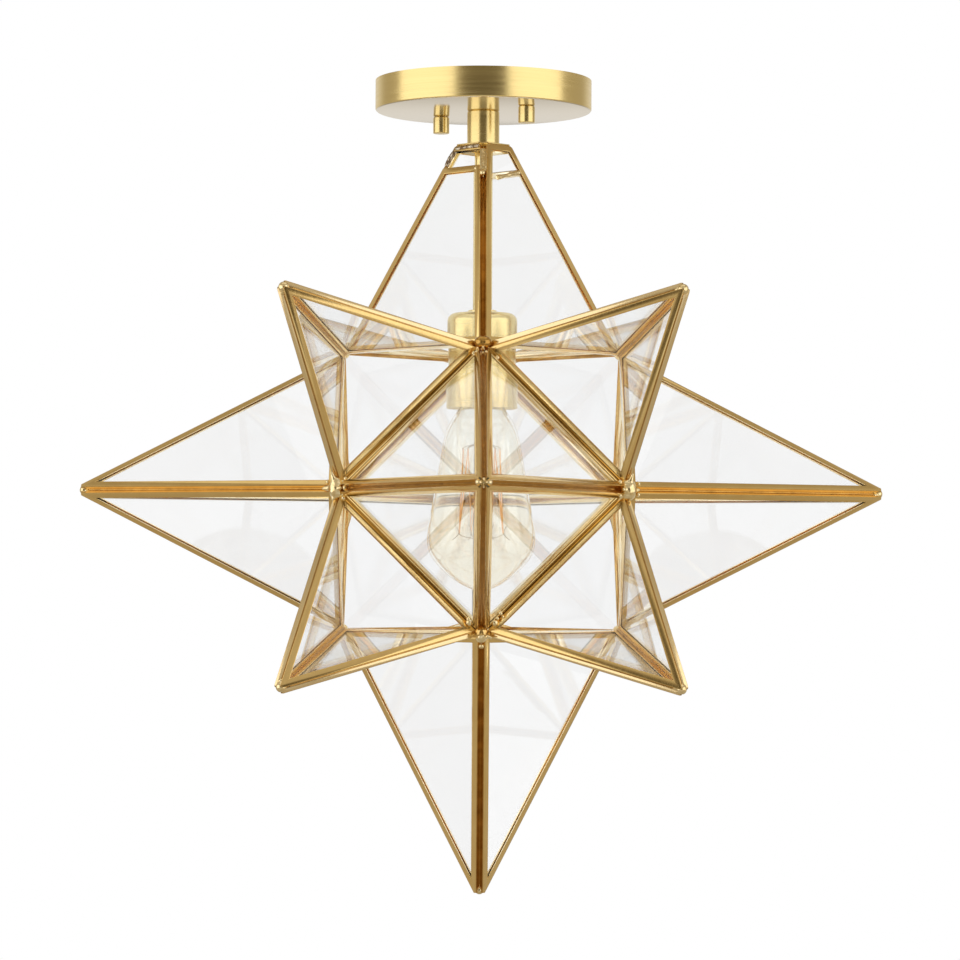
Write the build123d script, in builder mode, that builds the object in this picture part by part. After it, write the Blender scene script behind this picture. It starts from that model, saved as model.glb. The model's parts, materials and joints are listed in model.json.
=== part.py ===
# Star lantern ceiling light: glass spikes in folded brass channel on a short stem under a round canopy.
# Millimetres. The origin is the middle of the mounting plate's top face, on the ceiling, with +Z up;
# the light hangs below it and its front faces -Y.
import os
from collections import namedtuple
from math import cos, pi, radians, sin, sqrt, tan

from build123d import *

os.makedirs("parts", exist_ok=True)

# Star: the core's twelve corners lie on the middles of a cube's edges, and a spike stands on each face
core_half = 87.6            # star's centre to each face of that cube
long_height = 171.7         # four-sided spikes, base square to their sharp point
top_height = 164.7          # the same for the spike that the stem comes through
short_height = 114.0        # three-sided spikes, base triangle to their sharp point
tip_cut = 6.4               # sharp point taken off each spike, along its axis
tip_cap_height = 1.2        # solder over the cut point

# Folded channel round each pane
glass_thickness = 2.2
channel_wall = 0.5
glass_fit = 0.05            # play between glass and channel
flange_width = 4.0          # channel's outside width on the face of the glass
channel_gap = 0.1           # between channels that lie edge to edge
glass_tip_gap = 1.0         # glass stops short of the cut point
corner_ball = 3.4           # radius of the solder at each corner of the core
corner_gap = 0.1            # solder to the cut channel corners
door_corner_gap = 1.3       # the same to the corners of the spike that opens
glass_corner_gap = 1.8
bead_sides = 8
bead_flat_share = 0.5       # of a bead's radius, for its two ends
door_bead_radius = 1.8      # solder in the grooves of the spike that opens
door_bead_place = 9.0       # from the corner, along the ridge

# Square ring at the top of the star
ring_half_width = 12.36     # from the stem's axis to the middle of a channel at the top of the ring
ring_corner_cut = 4.6       # of the plate
ring_pane_cut = 1.6         # of the panes and of the bars over the vents
vent_drop = 15.1            # top of the ring to the edge of the two shorter panes, which leaves two vents
plate_thickness = 0.8

# Canopy, its plate on the ceiling and its two thumb nuts
canopy_radius = 68.5
canopy_height = 19.3
canopy_wall = 1.0
canopy_edge = 1.1
mount_plate_radius = 56.0
mount_plate_thickness = 1.6
mount_plate_hole = 16.0
box_screw_spacing = 79.4    # between the middles of the two slots
box_slot_length = 14.0
box_slot_width = 4.4
stud_radius = 2.0
stud_circle = 38.8          # studs to the canopy's axis
stud_bearing = 133.9        # degrees from +X to the stud behind the stem
stud_in_knob = 7.0
knob_radius = 5.15
knob_length = 10.6
knob_edge = 0.6
knob_gap = 0.1
hole_fit = 0.2              # round a stud or the stem where it passes through sheet
thread_fit = 0.05           # round a thread, drawn plain

# Stem
stem_radius = 5.4
stem_bore = 3.6
stem_above_nut = 2.0
collar_radius = 10.2
collar_length = 21.2
nut_across_flats = 16.0
nut_thickness = 4.0
washer_radius = 9.0
washer_thickness = 1.4
washer_slit = 1.2
ring_nut_radius = 7.0
ring_nut_thickness = 1.5

# Socket, heights above the star's centre
cup_top = 113.0
cup_mouth = 51.7
cup_radius = 21.5
cup_wall = 1.0
cup_shoulder = 5.5
cup_cap_radius = 8.5
cup_cap_thickness = 1.8
cup_cap_edge = 0.8
holder_radius = 18.0
holder_mouth = 58.5
holder_top = 92.0
holder_neck_depth = 6.0
holder_edge = 2.0
shell_radius = 14.0         # outside of the screw shell
shell_wall = 0.4
shell_length = 25.0
contact_width = 5.0
contact_thickness = 0.6
contact_side_gap = 1.0      # from the contact's ends to the shell

# Bulb: a tall pear shape on a screw cap
bulb_radius = 33.3
bulb_length = 144.6
bulb_side_bend = 55.0       # radius above the round end, until the side leans in by its taper
bulb_side_taper = 10.5
bulb_shoulder_under = 52.1  # bulb's top down to where its straight side ends
bulb_shoulder_radius = 45.0
bulb_shoulder_turn = 25.0
bulb_wall = 0.8
bulb_neck_radius = 12.2
bulb_neck_in_cap = 0.8      # neck's full radius starts this far below the cap's mouth
bulb_neck_top = 2.0         # cap's inside top to the end of the neck
cap_radius = 13.1
cap_wall = 0.4
cap_length = 22.0
cap_insulator_height = 3.0
cap_insulator_inset = 1.0   # insulator's wide end to the cap, and its narrow end to the contact
contact_height = 1.4
contact_edge = 0.8
contact_radius = 4.2
contact_play = 0.3          # bulb's contact to the holder's, so that the bulb turns freely
stem_glass_radius = 1.6
stem_button_radius = 3.2
stem_button_above = 2.0     # upper hooks to the end of the button
stem_button_slope = 2.0
stem_flare_height = 1.5
spider_hub_wall = 1.0
spider_hub_height = 2.4
strand_count = 12
strand_radius = 0.35
upper_hook_circle = 8.0
lower_hook_circle = 14.0
upper_hook_height = 26.0    # above the star's centre
lower_hook_depth = 25.0     # below it
hook_gap = 0.3

# Hinge of the bottom spike: brass tubes on the two channels along its rear left edge
hinge_radius = 2.0
hinge_wire_radius = 1.1
hinge_fit = 0.05
hinge_clear = 0.15          # tube to the channel that it isn't soldered to
hinge_tube_length = 12.0
hinge_tube_gap = 0.3
hinge_foot_width = 2.4
hinge_wire_end = 2.5
hinge_wire_hook = 4.0       # bent end of the wire, which lies over the channel that stays
hinge_wire_bend = 1.6       # radius of that bend

# Catch near the right corner of the bottom spike: a blade in a spring clip
blade_thickness = 1.0
blade_width = 9.0
blade_rise = 9.0            # above the base of the spike
blade_inset = 2.9           # its outer face to the base edge
foot_flange_share = 0.9     # how much of a flange the feet of blade and clip cover
clip_leaf = 0.5
clip_over_blade = 1.0
clip_play = 0.05
clip_width = 8.0
clip_lift = 1.6             # clip's foot over the base of the spike
catch_inset = 14.0          # to the front corner

channel_depth = glass_thickness + 2 * (glass_fit + channel_wall)
top_lean = core_half / sqrt(2) / top_height     # sideways run of the top spike's panes per unit of height
ring_top = core_half + top_height - ring_half_width / top_lean
vent_sill = ring_top - vent_drop
star_z = -(canopy_height + collar_length + plate_thickness + ring_top)
centre = Vector(0, 0, star_z)
up = Vector(0, 0, 1)


def level(height):
    """Height above the star's centre, as Z."""
    return star_z + height


# Panes of the star

Pane = namedtuple("Pane", "left right apex")


def long_spike(axis, side, height):
    """Four panes on the square face that axis points through."""
    other = axis.cross(side)
    corners = [centre + (axis + turn) * core_half for turn in (side, other, -side, -other)]
    apex = centre + axis * (core_half + height)
    return [Pane(corners[i], corners[(i + 1) % 4], apex) for i in range(4)]


def short_spike(x, y, z, height):
    """Three panes on the triangular face in the octant with these signs."""
    corners = [Vector(x, y, 0), Vector(0, y, z), Vector(x, 0, z)]
    axis = Vector(x, y, z).normalized()
    if (corners[1] - corners[0]).cross(corners[2] - corners[0]).dot(axis) < 0:
        corners.reverse()
    corners = [centre + corner * core_half for corner in corners]
    apex = centre + axis * (core_half * 2 / sqrt(3) + height)
    return [Pane(corners[i], corners[(i + 1) % 3], apex) for i in range(3)]


def base_middle(pane):
    return (pane.left + pane.right) * 0.5


def outward(pane):
    return (pane.right - pane.left).cross(pane.apex - pane.left).normalized()


def pane_plane(pane):
    """The pane's middle plane: x along its base, y up to its point, z outwards."""
    return Plane(origin=base_middle(pane), x_dir=pane.right - pane.left, z_dir=outward(pane))


x_axis, y_axis = Vector(1, 0, 0), Vector(0, 1, 0)
star = {
    "front_spike": long_spike(-y_axis, x_axis, long_height),
    "back_spike": long_spike(y_axis, x_axis, long_height),
    "left_spike": long_spike(-x_axis, y_axis, long_height),
    "right_spike": long_spike(x_axis, y_axis, long_height),
    "bottom_spike": long_spike(-up, x_axis, long_height),
    "top_spike": long_spike(up, x_axis, top_height),
}
for z, level_name in ((1, "upper"), (-1, "lower")):
    for y, depth_name in ((-1, "front"), (1, "back")):
        for x, side_name in ((-1, "left"), (1, "right")):
            star[f"{level_name}_{depth_name}_{side_name}_spike"] = short_spike(x, y, z, short_height)

all_panes = [pane for panes in star.values() for pane in panes]


def below_base(pane):
    """The pane of the next spike that shares this pane's base."""
    middle = base_middle(pane)
    return next(
        other for other in all_panes if other is not pane and (base_middle(other) - middle).length < 0.001
    )


def mitre_inset(first, second):
    """How far a channel keeps back from the edge that two panes share, so that their corners just meet."""
    between = radians(outward(first).get_angle(outward(second)))
    return channel_depth / 2 * tan(between / 2) + channel_gap / 2


def clip(corners, point, inward):
    """Corners of a flat outline once all that lies behind a line is cut off."""
    kept = []
    for here, after in zip(corners, corners[1:] + corners[:1]):
        side, side_after = (here - point).dot(inward), (after - point).dot(inward)
        if side >= 0:
            kept.append(here)
        if side * side_after < 0:
            kept.append(here + (after - here) * (side / (side - side_after)))
    return kept


def slant(pane):
    """Length of a pane from the middle of its base to its sharp point."""
    return (pane.apex - base_middle(pane)).length


def pane_outline(pane, ridge_inset, base_inset, corner_cut, top=None, top_inset=0, top_cut=None):
    """Outline on the pane's plane, kept back from its edges and base corners, and from a level top's."""
    half, height = (pane.right - pane.left).length / 2, slant(pane)
    left, right, tip = Vector(-half, 0), Vector(half, 0), Vector(0, height)
    from_base = Vector(0, 1)
    from_left, from_right = Vector(height, -half).normalized(), Vector(-height, -half).normalized()
    cuts = [
        (left, from_base, base_inset),
        (left, from_left, ridge_inset),
        (right, from_right, ridge_inset),
        (left, (from_base + from_left).normalized(), corner_cut),
        (right, (from_base + from_right).normalized(), corner_cut),
    ]
    if top is not None:
        cuts.append((Vector(0, top), Vector(0, -1), top_inset))
    if top_cut is not None:
        for side, from_ridge in ((left, from_left), (right, from_right)):
            top_corner = side * (1 - top / height) + Vector(0, top)
            cuts.append((top_corner, (from_ridge - from_base).normalized(), top_cut))
    corners = [left, right, tip]
    for point, inward, depth in cuts:
        corners = clip(corners, point + inward * depth, inward)
    return corners


def under_ring(pane):
    """Where a channel under the top plate ends, along its pane; its square end stands higher outside."""
    height = ring_top - channel_gap - channel_depth / 2 * top_lean
    return (height - core_half) * slant(pane) / top_height


def has_vent(name, index):
    return name == "top_spike" and index % 2 == 0


def pane_top(name, index):
    """Where the channel of a pane of the top spike ends, along the pane; the others run to their point."""
    if name != "top_spike":
        return None
    pane = star[name][index]
    return (vent_sill - core_half) * slant(pane) / top_height if has_vent(name, index) else under_ring(pane)


def flat_on(plane, corners, amount, mode):
    """A flat outline on a plane, extruded to both sides."""
    with BuildSketch(plane) as flat:
        with BuildLine():
            Polyline(*corners, close=True)
        make_face()
    extrude(flat.sketch, amount=amount / 2, both=True, mode=mode)


def cut_plane(panes, back=0.0):
    """Plane square to a spike's axis where its sharp point is cut off, facing outwards."""
    foot = sum((pane.left for pane in panes), Vector(0, 0, 0)) * (1 / len(panes))
    axis = (panes[0].apex - foot).normalized()
    return Plane(origin=panes[0].apex - axis * (tip_cut + back), x_dir=panes[0].left - foot, z_dir=axis)


def insets_of(name, index):
    panes = star[name]
    pane = panes[index]
    corner = corner_ball + (door_corner_gap if name == "bottom_spike" else corner_gap)
    return mitre_inset(pane, panes[index - 1]), mitre_inset(pane, below_base(pane)), corner


# Folded channel frames, one to a pane, mitred where they meet

half_thick = channel_depth / 2 * sqrt(1 + top_lean**2)      # of the top spike's channels, measured level


for name, panes in star.items():
    with BuildPart() as channels:
        for index, pane in enumerate(panes):
            plane, top = pane_plane(pane), pane_top(name, index)
            ridge, base, corner = insets_of(name, index)
            cut = ring_pane_cut if top and not has_vent(name, index) else None
            frame = pane_outline(pane, ridge, base, corner, top, 0, cut)
            flat_on(plane, frame, channel_depth, Mode.ADD)
            wall = channel_wall
            inner_cut = cut and cut + wall
            groove = pane_outline(pane, ridge + wall, base + wall, corner + wall, top, wall, inner_cut)
            flat_on(plane, groove, glass_thickness + 2 * glass_fit, Mode.SUBTRACT)
            flange = flange_width
            window = pane_outline(pane, ridge + flange, base + flange, 0, top, flange)
            flat_on(plane, window, 2 * channel_depth, Mode.SUBTRACT)
            if has_vent(name, index):
                # Bar under the top plate, which closes the top of the vent: a channel open downwards
                end, cut = under_ring(pane), ring_pane_cut
                bar = pane_outline(pane, ridge, base, corner, end, 0, cut)
                inside = pane_outline(pane, ridge + wall, base, corner, end, wall, cut + wall)
                for outline, amount, mode in (
                    (bar, channel_depth, Mode.ADD),
                    (inside, glass_thickness + 2 * glass_fit, Mode.SUBTRACT),
                ):
                    above = clip(outline, Vector(0, end - flange), Vector(0, 1))
                    flat_on(plane, above, amount, mode)
        if name != "top_spike":
            split(bisect_by=cut_plane(panes), keep=Keep.BOTTOM)
    channels.part.label = f"{name}_channels"
    export_step(channels.part, f"parts/{name}_channels.step")

# Panes of glass, each loose in its channel

glass_inset = channel_wall + glass_fit
for name, panes in star.items():
    with BuildPart() as glass:
        for index, pane in enumerate(panes):
            top = pane_top(name, index)
            ridge, base, corner = insets_of(name, index)
            cut = None
            if top is None:
                rise = (panes[0].apex - cut_plane(panes, glass_tip_gap).origin).length
                axis_height = (pane.apex - cut_plane(panes).origin).normalized().dot(
                    pane.apex - base_middle(pane)
                )
                top = slant(pane) * (1 - rise / axis_height)
                inset = 0
            else:
                inset = glass_inset
                if not has_vent(name, index):
                    cut = ring_pane_cut + glass_inset + glass_corner_gap
            outline = pane_outline(
                pane, ridge + glass_inset, base + glass_inset, corner + glass_corner_gap, top, inset, cut
            )
            flat_on(pane_plane(pane), outline, glass_thickness, Mode.ADD)
    glass.part.label = f"{name}_glass"
    export_step(glass.part, f"parts/{name}_glass.step")

# Solder: a bead at each corner of the core, and a cap on each cut point


def bead(place, radius):
    """A lump of solder: two blunt cones with flat sides, which fit in a ball of this radius."""
    sections = []
    flat = radius * bead_flat_share
    for height, reach in ((-1, flat), (0, radius), (1, flat)):
        with BuildSketch(Plane(origin=place + up * height * sqrt(radius**2 - flat**2))) as section:
            RegularPolygon(radius=reach, side_count=bead_sides)
        sections.append(section.sketch.face())
    loft(sections, ruled=True)


core_corners = []
for pane in all_panes:
    if all((pane.left - corner).length > 1 for corner in core_corners):
        core_corners.append(pane.left)

with BuildPart() as corner_solder:
    for corner in core_corners:
        bead(corner, corner_ball)
corner_solder.part.label = "corner_solder"
export_step(corner_solder.part, "parts/corner_solder.step")


def tip_cap(panes):
    """A low cap over the ends of a spike's channels."""
    plane = cut_plane(panes)
    axis = plane.z_dir
    foot_distance = (panes[0].apex - panes[0].left).dot(axis)
    corner_reach = (panes[0].left - panes[0].apex + axis * foot_distance).length
    base = corner_reach * tip_cut / foot_distance + channel_depth / 2
    with BuildSketch(plane) as foot:
        RegularPolygon(radius=base, side_count=len(panes))
    with BuildSketch(plane.offset(tip_cap_height)) as top:
        RegularPolygon(radius=base - tip_cap_height, side_count=len(panes))
    loft([foot.sketch.face(), top.sketch.face()])


with BuildPart() as tip_solder:
    for name, panes in star.items():
        if name not in ("top_spike", "bottom_spike"):
            tip_cap(panes)
tip_solder.part.label = "tip_solder"
export_step(tip_solder.part, "parts/tip_solder.step")

door = star["bottom_spike"]
with BuildPart() as door_solder:
    tip_cap(door)
    for index, pane in enumerate(door):
        before = door[index - 1]
        between = radians(outward(pane).get_angle(outward(before)))
        outside = (outward(pane) + outward(before)).normalized()
        ridge_point = pane.left + (pane.apex - pane.left).normalized() * door_bead_place
        meeting = channel_depth / 2 / cos(between / 2)
        groove_half = pi / 2 - between / 2
        seat = (door_bead_radius + channel_gap / 2) / cos(groove_half) - meeting
        bead(ridge_point + outside * seat, door_bead_radius)
door_solder.part.label = "door_solder"
export_step(door_solder.part, "parts/door_solder.step")

# Mounting plate on the ceiling box

stud_places = [
    (stud_circle * cos(radians(bearing)), stud_circle * sin(radians(bearing)))
    for bearing in (stud_bearing, stud_bearing + 180)
]

with BuildPart() as mounting_plate:
    with BuildSketch():
        Circle(mount_plate_radius)
        Circle(mount_plate_hole, mode=Mode.SUBTRACT)
        with GridLocations(box_screw_spacing, 0, 2, 1):
            SlotOverall(box_slot_length, box_slot_width, mode=Mode.SUBTRACT)
        with Locations(*stud_places):
            Circle(stud_radius + thread_fit, mode=Mode.SUBTRACT)
    extrude(amount=-mount_plate_thickness)
mounting_plate.part.label = "mounting_plate"
export_step(mounting_plate.part, "parts/mounting_plate.step")

stud_bottom = -canopy_height - stud_in_knob
with BuildPart() as canopy_studs:
    with BuildSketch(Plane.XY.offset(stud_bottom)):
        with Locations(*stud_places):
            Circle(stud_radius)
    extrude(amount=-stud_bottom)
canopy_studs.part.label = "canopy_studs"
export_step(canopy_studs.part, "parts/canopy_studs.step")

# Canopy: a shallow spun dish, open at the ceiling

with BuildPart() as canopy:
    with BuildSketch(Plane.XY.offset(-canopy_height)):
        Circle(canopy_radius)
    extrude(amount=canopy_height)
    chamfer(edges().group_by(Axis.Z)[0], canopy_edge)
    with BuildSketch():
        Circle(canopy_radius - canopy_wall)
    extrude(amount=canopy_wall - canopy_height, mode=Mode.SUBTRACT)
    with BuildSketch(Plane.XY.offset(-canopy_height)):
        Circle(stem_radius + hole_fit)
        with Locations(*stud_places):
            Circle(stud_radius + hole_fit)
    extrude(amount=2 * canopy_wall, mode=Mode.SUBTRACT)
canopy.part.label = "canopy"
export_step(canopy.part, "parts/canopy.step")

for knob_name, place in zip(("rear_canopy_knob", "front_canopy_knob"), stud_places):
    with BuildPart() as knob:
        knob_top = -canopy_height - knob_gap
        with BuildSketch(Plane.XY.offset(knob_top)):
            with Locations(place):
                Circle(knob_radius)
        extrude(amount=-knob_length)
        chamfer(edges().group_by(Axis.Z)[0], knob_edge)
        with BuildSketch(Plane.XY.offset(knob_top)):
            with Locations(place):
                Circle(stud_radius + thread_fit)
        extrude(amount=-(stud_in_knob + 2 * knob_gap), mode=Mode.SUBTRACT)
    knob.part.label = knob_name
    export_step(knob.part, f"parts/{knob_name}.step")

# Stem and what it clamps, from the nut inside the canopy down to the socket cup

canopy_floor = -canopy_height + canopy_wall
washer_top = canopy_floor + washer_thickness
nut_top = washer_top + nut_thickness
holder_neck = level(holder_top)
stem_bottom = holder_neck - holder_neck_depth

with BuildPart() as stem_pipe:
    with BuildSketch(Plane.XY.offset(stem_bottom)):
        Circle(stem_radius)
        Circle(stem_bore, mode=Mode.SUBTRACT)
    extrude(amount=nut_top + stem_above_nut - stem_bottom)
stem_pipe.part.label = "stem_pipe"
export_step(stem_pipe.part, "parts/stem_pipe.step")

with BuildPart() as lock_washer:
    with BuildSketch(Plane.XY.offset(canopy_floor)):
        Circle(washer_radius)
        Circle(stem_radius + hole_fit, mode=Mode.SUBTRACT)
        with Locations((washer_radius, 0)):
            Rectangle(washer_radius, washer_slit, mode=Mode.SUBTRACT)
    extrude(amount=washer_thickness)
lock_washer.part.label = "lock_washer"
export_step(lock_washer.part, "parts/lock_washer.step")

hex_corner = nut_across_flats / 2 / cos(pi / 6)
with BuildPart() as canopy_nut:
    with BuildSketch(Plane.XY.offset(washer_top)):
        RegularPolygon(radius=hex_corner, side_count=6)
        Circle(stem_radius + thread_fit, mode=Mode.SUBTRACT)
    extrude(amount=nut_thickness)
canopy_nut.part.label = "canopy_nut"
export_step(canopy_nut.part, "parts/canopy_nut.step")

with BuildPart() as collar:
    with BuildSketch(Plane.XY.offset(-canopy_height - collar_length)):
        Circle(collar_radius)
        Circle(stem_radius + hole_fit, mode=Mode.SUBTRACT)
    extrude(amount=collar_length)
collar.part.label = "collar"
export_step(collar.part, "parts/collar.step")

with BuildPart() as top_plate:
    plate_half = ring_half_width + half_thick
    with BuildSketch(Plane.XY.offset(level(ring_top))):
        Rectangle(2 * plate_half, 2 * plate_half, rotation=45)
        chamfer(vertices(), ring_corner_cut)
        Circle(stem_radius + hole_fit, mode=Mode.SUBTRACT)
    extrude(amount=plate_thickness)
top_plate.part.label = "top_plate"
export_step(top_plate.part, "parts/top_plate.step")

with BuildPart() as ring_nut:
    with BuildSketch(Plane.XY.offset(level(ring_top))):
        Circle(ring_nut_radius)
        Circle(stem_radius + thread_fit, mode=Mode.SUBTRACT)
    extrude(amount=-ring_nut_thickness)
ring_nut.part.label = "ring_nut"
export_step(ring_nut.part, "parts/ring_nut.step")

# Socket cup, its cap and nut, and the lampholder inside

with BuildPart() as cup_cap:
    with BuildSketch(Plane.XY.offset(level(cup_top))):
        Circle(cup_cap_radius)
        Circle(stem_radius + thread_fit, mode=Mode.SUBTRACT)
    extrude(amount=cup_cap_thickness)
    chamfer(edges().group_by(Axis.Z)[-1].sort_by(SortBy.LENGTH)[-1], cup_cap_edge)
cup_cap.part.label = "cup_cap"
export_step(cup_cap.part, "parts/cup_cap.step")

with BuildPart() as socket_cup:
    with BuildSketch(Plane.XY.offset(level(cup_mouth))):
        Circle(cup_radius)
    extrude(amount=cup_top - cup_mouth)
    fillet(edges().group_by(Axis.Z)[-1], cup_shoulder)
    with BuildSketch(Plane.XZ):
        with BuildLine():
            inner_radius, inner_top = cup_radius - cup_wall, level(cup_top - cup_wall)
            inner_shoulder = cup_shoulder - cup_wall
            Polyline(
                (0, level(cup_mouth)),
                (inner_radius, level(cup_mouth)),
                (inner_radius, inner_top - inner_shoulder),
                (inner_radius - inner_shoulder, inner_top),
                (0, inner_top),
                close=True,
            )
        make_face()
    revolve(axis=Axis.Z, mode=Mode.SUBTRACT)
    with BuildSketch(Plane.XY.offset(level(cup_top))):
        Circle(stem_radius + hole_fit)
    extrude(amount=-2 * cup_wall, mode=Mode.SUBTRACT)
socket_cup.part.label = "socket_cup"
export_step(socket_cup.part, "parts/socket_cup.step")

with BuildPart() as cup_nut:
    with BuildSketch(Plane.XY.offset(level(cup_top - cup_wall))):
        RegularPolygon(radius=hex_corner, side_count=6)
        Circle(stem_radius + thread_fit, mode=Mode.SUBTRACT)
    extrude(amount=-nut_thickness)
cup_nut.part.label = "cup_nut"
export_step(cup_nut.part, "parts/cup_nut.step")

# The bulb's bottom follows from the holder: its contact stops just short of the holder's
contact_under = holder_mouth + shell_length - contact_thickness
bulb_top = contact_under - contact_play
bulb_bottom = bulb_top - bulb_length

with BuildPart() as lampholder:
    with BuildSketch(Plane.XY.offset(level(holder_mouth))):
        Circle(holder_radius)
    extrude(amount=holder_top - holder_mouth)
    chamfer(edges().group_by(Axis.Z)[-1], holder_edge)
    with BuildSketch(Plane.XY.offset(level(holder_mouth))):
        Circle(shell_radius + thread_fit)
    extrude(amount=shell_length, mode=Mode.SUBTRACT)
    with BuildSketch(Plane.XY.offset(level(holder_top))):
        Circle(stem_radius + thread_fit)
    extrude(amount=-holder_neck_depth, mode=Mode.SUBTRACT)
lampholder.part.label = "lampholder"
export_step(lampholder.part, "parts/lampholder.step")

with BuildPart() as screw_shell:
    with BuildSketch(Plane.XY.offset(level(holder_mouth))):
        Circle(shell_radius)
        Circle(shell_radius - shell_wall, mode=Mode.SUBTRACT)
    extrude(amount=shell_length - contact_thickness)
screw_shell.part.label = "screw_shell"
export_step(screw_shell.part, "parts/screw_shell.step")

with BuildPart() as holder_contact:
    with BuildSketch(Plane.XY.offset(level(contact_under))):
        SlotOverall(2 * (shell_radius - contact_side_gap), contact_width)
    extrude(amount=contact_thickness)
holder_contact.part.label = "holder_contact"
export_step(holder_contact.part, "parts/holder_contact.step")

# Bulb

cap_top = bulb_top - contact_height - cap_insulator_height
cap_bottom = cap_top - cap_length
neck_top = cap_top - bulb_neck_top
side_rise = bulb_length - bulb_radius - bulb_shoulder_under - bulb_side_bend * sin(radians(bulb_side_taper))
bulb_side_length = side_rise / cos(radians(bulb_side_taper))


def bulb_curve(inset, top):
    """One side of the bulb in section, this far inside its surface: round end, taper, shoulder, neck."""
    widest = (bulb_radius - inset, level(bulb_bottom + bulb_radius))
    neck = bulb_neck_radius - inset
    JernArc(start=widest, tangent=(0, -1), radius=bulb_radius - inset, arc_size=-90)
    bend = JernArc(start=widest, tangent=(0, 1), radius=bulb_side_bend - inset, arc_size=bulb_side_taper)
    side = Line(bend @ 1, bend @ 1 + (bend % 1) * bulb_side_length)
    shoulder = JernArc(
        start=side @ 1, tangent=side % 1, radius=bulb_shoulder_radius - inset, arc_size=bulb_shoulder_turn
    )
    neck_start = (neck, level(cap_bottom - bulb_neck_in_cap))
    TangentArc(shoulder @ 1, neck_start, tangent=shoulder % 1)
    Line(neck_start, (neck, level(top)))


with BuildPart() as bulb_glass:
    with BuildSketch(Plane.XZ):
        with BuildLine():
            bulb_curve(0, neck_top)
            bulb_curve(bulb_wall, neck_top)
            Line((bulb_neck_radius, level(neck_top)), (bulb_neck_radius - bulb_wall, level(neck_top)))
            Line((0, level(bulb_bottom)), (0, level(bulb_bottom + bulb_wall)))
        make_face()
    revolve(axis=Axis.Z)
bulb_glass.part.label = "bulb_glass"
export_step(bulb_glass.part, "parts/bulb_glass.step")

with BuildPart() as bulb_cap:
    with BuildSketch(Plane.XY.offset(level(cap_bottom))):
        Circle(cap_radius)
    extrude(amount=cap_length)
    with BuildSketch(Plane.XY.offset(level(cap_bottom))):
        Circle(cap_radius - cap_wall)
    extrude(amount=cap_length - cap_wall, mode=Mode.SUBTRACT)
    with BuildSketch(Plane.XY.offset(level(cap_top))):
        Circle(contact_radius)
    extrude(amount=-2 * cap_wall, mode=Mode.SUBTRACT)
bulb_cap.part.label = "bulb_cap"
export_step(bulb_cap.part, "parts/bulb_cap.step")

with BuildPart() as cap_insulator:
    with BuildSketch(Plane.XY.offset(level(cap_top))):
        Circle(cap_radius - cap_insulator_inset)
    with BuildSketch(Plane.XY.offset(level(cap_top + cap_insulator_height))):
        Circle(contact_radius + cap_insulator_inset)
    loft()
cap_insulator.part.label = "cap_insulator"
export_step(cap_insulator.part, "parts/cap_insulator.step")

with BuildPart() as bulb_contact:
    with BuildSketch(Plane.XY.offset(level(cap_top + cap_insulator_height))):
        Circle(contact_radius)
    extrude(amount=contact_height)
    chamfer(edges().group_by(Axis.Z)[-1], contact_edge)
bulb_contact.part.label = "bulb_contact"
export_step(bulb_contact.part, "parts/bulb_contact.step")

# Inside the bulb: a glass stem that flares out to the neck, a rod, two spiders and one strand wound on them

flare_radius = bulb_neck_radius - bulb_wall - thread_fit
with BuildPart() as bulb_stem:
    with BuildSketch(Plane.XZ):
        with BuildLine():
            Polyline(
                (0, level(neck_top)),
                (flare_radius, level(neck_top)),
                (flare_radius, level(neck_top - stem_flare_height)),
                (stem_button_radius, level(cap_bottom)),
                (stem_button_radius, level(upper_hook_height + stem_button_above + stem_button_slope)),
                (stem_glass_radius, level(upper_hook_height + stem_button_above)),
                (stem_glass_radius, level(-lower_hook_depth)),
                (0, level(-lower_hook_depth - stem_glass_radius)),
                close=True,
            )
        make_face()
    revolve(axis=Axis.Z)
bulb_stem.part.label = "bulb_stem"
export_step(bulb_stem.part, "parts/bulb_stem.step")


def hook(index):
    """Where the strand turns: on the upper circle at even numbers and the lower one at odd ones."""
    turn = 2 * pi * index / strand_count
    circle, height = (
        (upper_hook_circle, upper_hook_height) if index % 2 == 0 else (lower_hook_circle, -lower_hook_depth)
    )
    return Vector(circle * cos(turn), circle * sin(turn), level(height))


strand_path = [hook(index) for index in range(strand_count)]
with BuildPart() as filament:
    with BuildLine() as strand_line:
        Polyline(*strand_path)
    with BuildSketch(strand_line.line ^ 0):
        RegularPolygon(radius=strand_radius, side_count=6)
    sweep(path=strand_line.line, transition=Transition.RIGHT)
filament.part.label = "filament"
export_step(filament.part, "parts/filament.step")

hub_radius = stem_glass_radius + spider_hub_wall
with BuildPart() as filament_supports:
    for start, height in ((0, upper_hook_height), (1, -lower_hook_depth + stem_glass_radius)):
        with BuildSketch(Plane.XY.offset(level(height))):
            Circle(hub_radius)
            Circle(stem_glass_radius + thread_fit, mode=Mode.SUBTRACT)
        extrude(amount=spider_hub_height / 2, both=True)
        for index in range(start, strand_count, 2):
            inner = Vector(hook(index).X, hook(index).Y).normalized() * (hub_radius - spider_hub_wall / 2)
            inner = Vector(inner.X, inner.Y, level(height))
            arm = hook(index) - inner
            with BuildSketch(Plane(origin=inner, z_dir=arm)):
                RegularPolygon(radius=strand_radius, side_count=6)
            extrude(amount=arm.length - 2 * strand_radius - hook_gap)
filament_supports.part.label = "filament_supports"
export_step(filament_supports.part, "parts/filament_supports.step")

# Hinge of the bottom spike

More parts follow.
